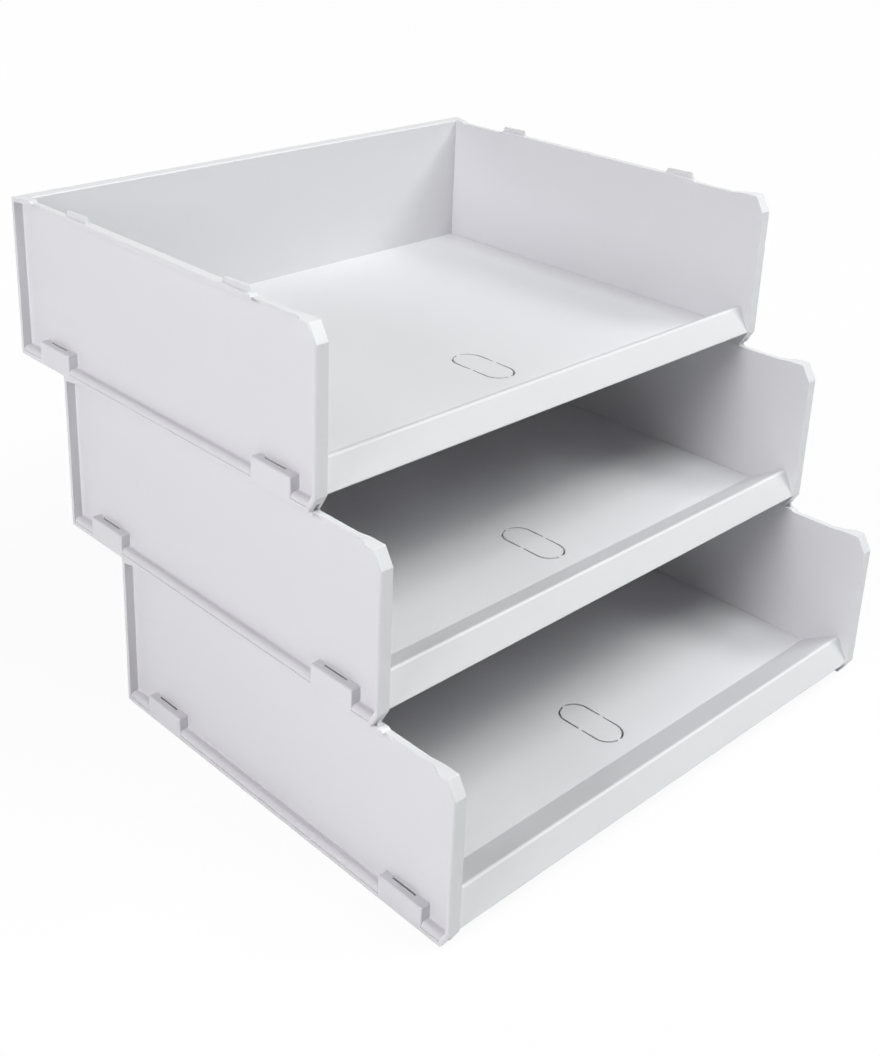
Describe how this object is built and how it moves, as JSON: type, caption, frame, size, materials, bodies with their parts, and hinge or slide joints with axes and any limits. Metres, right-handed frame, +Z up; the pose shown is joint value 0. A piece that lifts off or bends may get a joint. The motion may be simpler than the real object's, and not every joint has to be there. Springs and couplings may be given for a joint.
{
  "type": "letter tray stack",
  "caption": "Stack of open-fronted side-loading letter trays in steps, with a sloped front lip and stacking tabs on the side walls.",
  "frame": {"origin": "middle of the stack's outline seen from above, on the surface that the bottom tray stands on", "axes": "+Z up, +X to the right as seen from the open front, +Y towards the back; the trays open towards -Y"},
  "size_m": [0.3466, 0.357, 0.2809],
  "materials": {
    "bottom_tray": "satin",
    "middle_tray": "satin",
    "top_tray": "satin"
  },
  "bodies": {
    "bottom_tray": {"bottom_tray_base": "bottom_tray", "bottom_tray_back_wall": "bottom_tray", "bottom_tray_left_side": "bottom_tray", "bottom_tray_right_side": "bottom_tray"},
    "middle_tray": {"middle_tray_base": "middle_tray", "middle_tray_back_wall": "middle_tray", "middle_tray_left_side": "middle_tray", "middle_tray_right_side": "middle_tray"},
    "top_tray": {"top_tray_base": "top_tray", "top_tray_back_wall": "top_tray", "top_tray_left_side": "top_tray", "top_tray_right_side": "top_tray"}
  },
  "joints": [
    {"name": "middle_tray_lift", "type": "slide", "parent": "bottom_tray", "child": "middle_tray", "axis": [0, 0, 1], "range_m": [0, 0.12]},
    {"name": "top_tray_lift", "type": "slide", "parent": "middle_tray", "child": "top_tray", "axis": [0, 0, 1], "range_m": [0, 0.12]}
  ]
}
